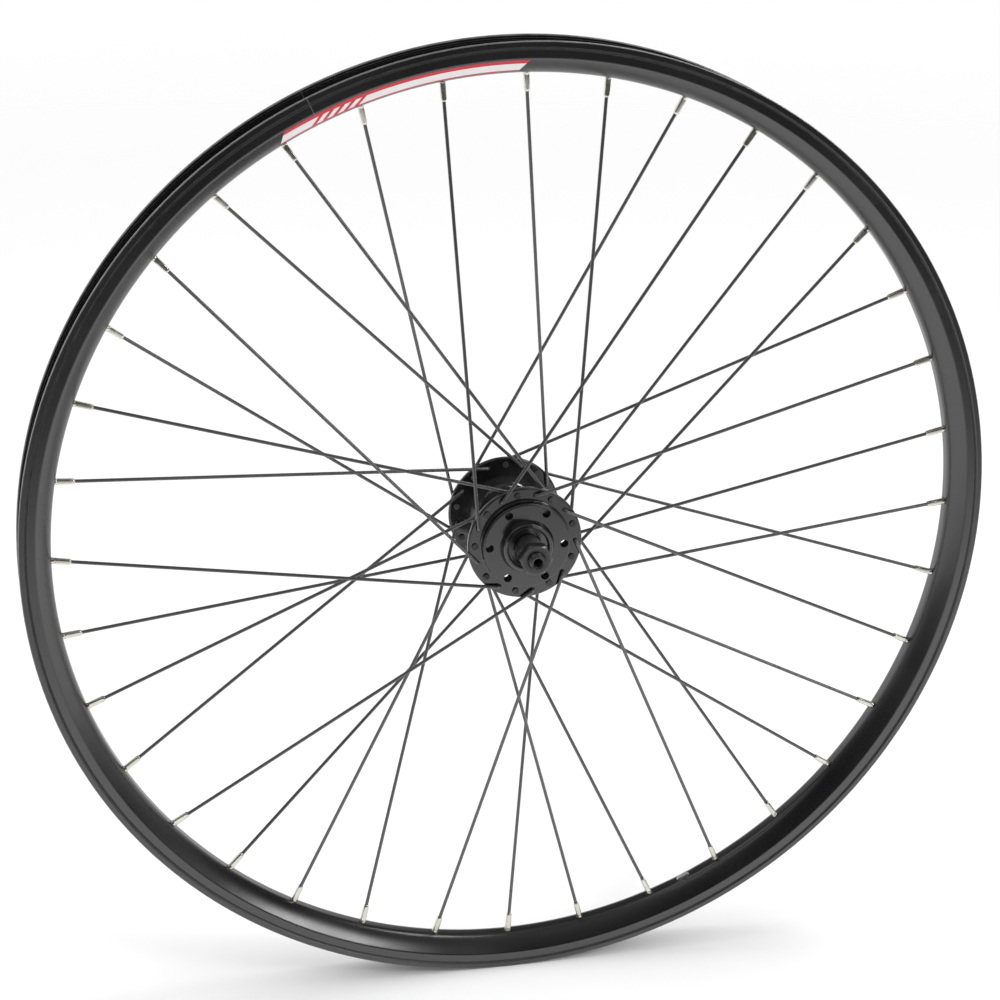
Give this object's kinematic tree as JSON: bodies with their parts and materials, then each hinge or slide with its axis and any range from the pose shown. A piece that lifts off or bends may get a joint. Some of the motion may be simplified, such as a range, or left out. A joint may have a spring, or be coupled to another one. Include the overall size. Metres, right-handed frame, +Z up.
{
  "type": "bicycle wheel",
  "caption": "Front bicycle wheel: a black box-section rim laced with crossed wire spokes to a disc-brake hub that spins on ball bearings about a hollow quick-release axle.",
  "frame": {"origin": "centre of the wheel, on the axle and midway between the rim's sides", "axes": "+Y along the axle from the disc side to the plain side, +Z up, a spoke hole of the rim straight up"},
  "size_m": [0.5719, 0.108, 0.572],
  "materials": {
    "axle_black": "blackened steel",
    "bearing_steel": "ground steel",
    "locknut_black": "black zinc, worn on its corners",
    "rim_black": "satin black anodised",
    "hub_black": "polished black anodised",
    "nipple_silver": "bright nickel plate",
    "spoke_black": "black oxide wire",
    "dust_cap_black": "turned, gloss black"
  },
  "bodies": {
    "axle_set": {"axle": "axle_black", "cone_left": "bearing_steel", "cone_right": "bearing_steel", "locknut_left": "locknut_black", "locknut_right": "locknut_black"},
    "wheel": {"rim": "rim_black", "hub_shell": "hub_black", "nipples": "nipple_silver", "spoke_left_01": "spoke_black", "spoke_left_02": "spoke_black", "spoke_left_03": "spoke_black", "spoke_left_04": "spoke_black", "spoke_left_05": "spoke_black", "spoke_left_06": "spoke_black", "spoke_left_07": "spoke_black", "spoke_left_08": "spoke_black", "spoke_left_09": "spoke_black", "spoke_left_10": "spoke_black", "spoke_left_11": "spoke_black", "spoke_left_12": "spoke_black", "spoke_left_13": "spoke_black", "spoke_left_14": "spoke_black", "spoke_left_15": "spoke_black", "spoke_left_16": "spoke_black", "spoke_left_17": "spoke_black", "spoke_left_18": "spoke_black", "spoke_right_01": "spoke_black", "spoke_right_02": "spoke_black", "spoke_right_03": "spoke_black", "spoke_right_04": "spoke_black", "spoke_right_05": "spoke_black", "spoke_right_06": "spoke_black", "spoke_right_07": "spoke_black", "spoke_right_08": "spoke_black", "spoke_right_09": "spoke_black", "spoke_right_10": "spoke_black", "spoke_right_11": "spoke_black", "spoke_right_12": "spoke_black", "spoke_right_13": "spoke_black", "spoke_right_14": "spoke_black", "spoke_right_15": "spoke_black", "spoke_right_16": "spoke_black", "spoke_right_17": "spoke_black", "spoke_right_18": "spoke_black", "bearing_cup_left": "bearing_steel", "bearing_cup_right": "bearing_steel", "dust_cap_left": "dust_cap_black", "dust_cap_right": "dust_cap_black"},
    "ball_rings": {"bearing_balls_left": "bearing_steel", "bearing_balls_right": "bearing_steel"}
  },
  "joints": [
    {"name": "wheel_spin", "type": "hinge", "parent": "axle_set", "child": "wheel", "pos_m": [0, 0, 0], "axis": [0, 1, 0], "continuous": true},
    {"name": "ball_orbit", "type": "hinge", "parent": "axle_set", "child": "ball_rings", "pos_m": [0, 0, 0], "axis": [0, 1, 0], "continuous": true}
  ],
  "couplings": [
    {"joint": "ball_orbit", "follows": "wheel_spin", "ratio": 0.605}
  ]
}
